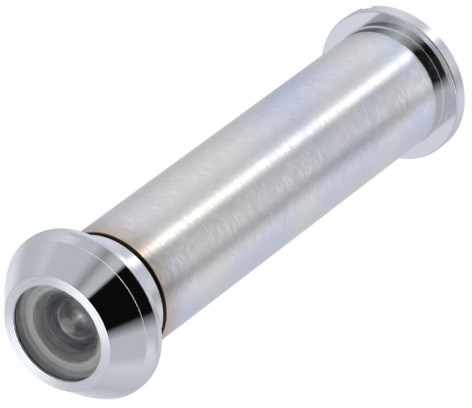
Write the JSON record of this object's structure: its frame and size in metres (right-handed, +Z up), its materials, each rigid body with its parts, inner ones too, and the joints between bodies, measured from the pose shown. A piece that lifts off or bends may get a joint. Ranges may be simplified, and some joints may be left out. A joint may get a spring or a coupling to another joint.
{
  "type": "door viewer",
  "caption": "Screw-together door viewer with a cone-shaped glazed objective bezel, a brushed barrel that screws to suit the door, and a coin-slotted eyepiece flange.",
  "frame": {"origin": "on the viewing axis, in the plane of the weather seal's back face, where the door's outside face lies", "axes": "+Y along the viewing axis from the objective outside to the eyepiece inside, +Z up"},
  "size_m": [0.019, 0.0654, 0.019],
  "materials": {
    "polished_chrome": "bright chrome plate on turned brass, fine turning lines on the rims",
    "brushed_plate": "nickel-chrome plate brushed round the tube, satin",
    "bare_brass": "unplated machined brass, darkened with age",
    "crown_glass": "polished optical crown glass",
    "black_rubber": "matt nitrile rubber",
    "black_anodised": "black anodised, satin"
  },
  "bodies": {
    "interior": {"sleeve_tube": "brushed_plate", "threaded_bush": "bare_brass", "eyepiece_flange": "polished_chrome", "eyepiece_lens": "crown_glass", "eyepiece_locking_ring": "black_anodised"},
    "seal": {"weather_seal": "black_rubber"},
    "objective": {"objective_bezel": "polished_chrome", "objective_barrel": "bare_brass", "lens_gasket": "black_rubber", "front_lens": "crown_glass", "front_spacer": "black_anodised", "middle_lens": "crown_glass", "rear_spacer": "black_anodised", "rear_lens": "crown_glass", "objective_locking_ring": "black_anodised"}
  },
  "joints": [
    {"name": "seal_slide", "type": "slide", "parent": "interior", "child": "seal", "axis": [0, -1, 0], "range_m": [-0.00021, 0.0151]},
    {"name": "objective_turn", "type": "hinge", "parent": "seal", "child": "objective", "pos_m": [0, 0, 0], "axis": [0, -1, 0], "range_deg": [-72, 5400]}
  ],
  "couplings": [
    {"joint": "seal_slide", "follows": "objective_turn", "m_per_rad": 0.00015915}
  ]
}
